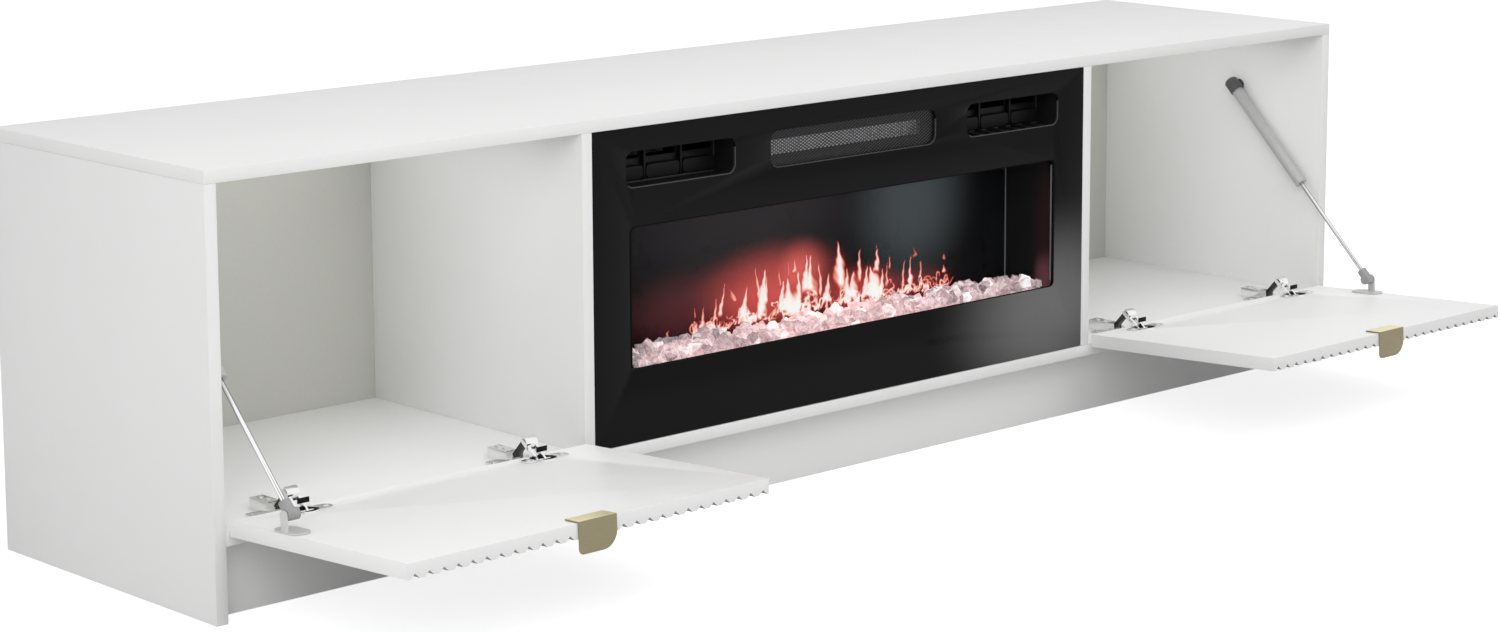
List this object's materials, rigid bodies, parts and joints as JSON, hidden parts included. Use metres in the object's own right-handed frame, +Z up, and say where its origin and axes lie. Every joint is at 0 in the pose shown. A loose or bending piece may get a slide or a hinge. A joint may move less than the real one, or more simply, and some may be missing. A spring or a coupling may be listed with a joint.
{
  "type": "fireplace tv stand",
  "caption": "Low white media cabinet with an electric fireplace between two drop-down fluted doors on cup hinges and gas struts.",
  "frame": {"origin": "on the floor, under the middle of the cabinet", "axes": "+X to the right along the front, +Y towards the back, +Z up"},
  "size_m": [2, 0.788, 0.52],
  "materials": {
    "white_board": "matt white laminate",
    "hardboard": "matt grey hardboard",
    "brass": "brushed",
    "chrome": "polished",
    "grey_paint": "satin",
    "grey_plastic": "matt",
    "dark_plastic": "matt",
    "black_glass": "gloss black, opaque",
    "clear_glass": "clear",
    "black_sheet": "satin black",
    "mesh_steel": "satin",
    "smoked_mirror": "gloss",
    "crystal": "gloss",
    "bare_aluminium": "mill",
    "lamp": "matt"
  },
  "bodies": {
    "cabinet": {"top_panel": "white_board", "side_panel_left": "white_board", "side_panel_right": "white_board", "divider_left": "white_board", "divider_right": "white_board", "bottom_panel": "white_board", "plinth_front": "white_board", "plinth_rear": "white_board", "centre_support": "white_board", "back_panel_left": "hardboard", "back_panel_right": "hardboard", "back_panel_centre": "hardboard", "hinge_plate_left_outer": "chrome", "hinge_plate_left_inner": "chrome", "hinge_plate_right_outer": "chrome", "hinge_plate_right_inner": "chrome", "strut_stud_left": "dark_plastic", "strut_stud_right": "dark_plastic", "fascia_panel": "black_glass", "window_glass": "clear_glass", "vent_left": "black_sheet", "vent_right": "black_sheet", "outlet_grille": "mesh_steel", "fireplace_housing": "black_sheet", "firebox_chassis": "black_sheet", "flame_screen": "smoked_mirror", "crystal_bed": "crystal", "spindle_motor": "dark_plastic", "led_bar": "lamp", "heater_element": "bare_aluminium", "blower_motor": "dark_plastic", "cable_gland": "dark_plastic"},
    "door_left_body": {"door_left": "white_board", "handle_left": "brass", "hinge_cup_left_outer": "chrome", "hinge_cup_left_inner": "chrome", "strut_bracket_left": "grey_paint"},
    "inner_links_left": {"hinge_inner_link_left_outer": "chrome", "hinge_inner_link_left_inner": "chrome"},
    "outer_links_left": {"hinge_outer_link_left_outer": "chrome", "hinge_outer_link_left_inner": "chrome"},
    "strut_rod_left_body": {"strut_rod_left": "chrome", "strut_socket_left": "grey_plastic"},
    "strut_cylinder_left_body": {"strut_cylinder_left": "grey_paint", "strut_cap_left": "dark_plastic"},
    "door_right_body": {"door_right": "white_board", "handle_right": "brass", "hinge_cup_right_outer": "chrome", "hinge_cup_right_inner": "chrome", "strut_bracket_right": "grey_paint"},
    "inner_links_right": {"hinge_inner_link_right_outer": "chrome", "hinge_inner_link_right_inner": "chrome"},
    "outer_links_right": {"hinge_outer_link_right_outer": "chrome", "hinge_outer_link_right_inner": "chrome"},
    "strut_rod_right_body": {"strut_rod_right": "chrome", "strut_socket_right": "grey_plastic"},
    "strut_cylinder_right_body": {"strut_cylinder_right": "grey_paint", "strut_cap_right": "dark_plastic"},
    "spindle": {"flame_spindle": "bare_aluminium"},
    "blower": {"blower_rotor": "dark_plastic"}
  },
  "joints": [
    {"name": "door_left_swing", "type": "hinge", "parent": "cabinet", "child": "door_left_body", "pos_m": [-0.723, -0.2246, 0.1024], "axis": [-1, 0, 0], "range_deg": [0, 87]},
    {"name": "inner_links_left_swing", "type": "hinge", "parent": "cabinet", "child": "inner_links_left", "pos_m": [-0.723, -0.2, 0.116], "axis": [-1, 0, 0], "range_deg": [0, 79.51]},
    {"name": "outer_links_left_swing", "type": "hinge", "parent": "door_left_body", "child": "outer_links_left", "pos_m": [-0.723, -0.24641, 0.11816], "axis": [1, 0, 0], "range_deg": [0, 76.48]},
    {"name": "strut_left_foot_swing", "type": "hinge", "parent": "door_left_body", "child": "strut_rod_left_body", "pos_m": [-0.97, -0.33108, 0.14563], "axis": [1, 0, 0], "range_deg": [0, 100.74]},
    {"name": "strut_left_stroke", "type": "slide", "parent": "strut_rod_left_body", "child": "strut_cylinder_left_body", "axis": [0, -0.7054, -0.7088], "range_m": [0, 0.1413]},
    {"name": "door_right_swing", "type": "hinge", "parent": "cabinet", "child": "door_right_body", "pos_m": [0.723, -0.2246, 0.1024], "axis": [-1, 0, 0], "range_deg": [0, 87]},
    {"name": "inner_links_right_swing", "type": "hinge", "parent": "cabinet", "child": "inner_links_right", "pos_m": [0.723, -0.2, 0.116], "axis": [-1, 0, 0], "range_deg": [0, 79.51]},
    {"name": "outer_links_right_swing", "type": "hinge", "parent": "door_right_body", "child": "outer_links_right", "pos_m": [0.723, -0.24641, 0.11816], "axis": [1, 0, 0], "range_deg": [0, 76.48]},
    {"name": "strut_right_foot_swing", "type": "hinge", "parent": "door_right_body", "child": "strut_rod_right_body", "pos_m": [0.97, -0.33108, 0.14563], "axis": [1, 0, 0], "range_deg": [0, 100.74]},
    {"name": "strut_right_stroke", "type": "slide", "parent": "strut_rod_right_body", "child": "strut_cylinder_right_body", "axis": [0, -0.7054, -0.7088], "range_m": [0, 0.1413]},
    {"name": "spindle_spin", "type": "hinge", "parent": "cabinet", "child": "spindle", "pos_m": [0, -0.099, 0.208], "axis": [1, 0, 0], "continuous": true},
    {"name": "blower_spin", "type": "hinge", "parent": "cabinet", "child": "blower", "pos_m": [0, -0.151, 0.451], "axis": [1, 0, 0], "continuous": true}
  ],
  "couplings": [
    {"joint": "inner_links_left_swing", "follows": "door_left_swing", "ratio": 0.91376},
    {"joint": "outer_links_left_swing", "follows": "door_left_swing", "ratio": 0.8789},
    {"joint": "strut_left_foot_swing", "follows": "door_left_swing", "ratio": 1.1578},
    {"joint": "strut_left_stroke", "follows": "door_left_swing", "m_per_rad": 0.093007},
    {"joint": "inner_links_right_swing", "follows": "door_right_swing", "ratio": 0.91376},
    {"joint": "outer_links_right_swing", "follows": "door_right_swing", "ratio": 0.8789},
    {"joint": "strut_right_foot_swing", "follows": "door_right_swing", "ratio": 1.1578},
    {"joint": "strut_right_stroke", "follows": "door_right_swing", "m_per_rad": 0.093007}
  ]
}
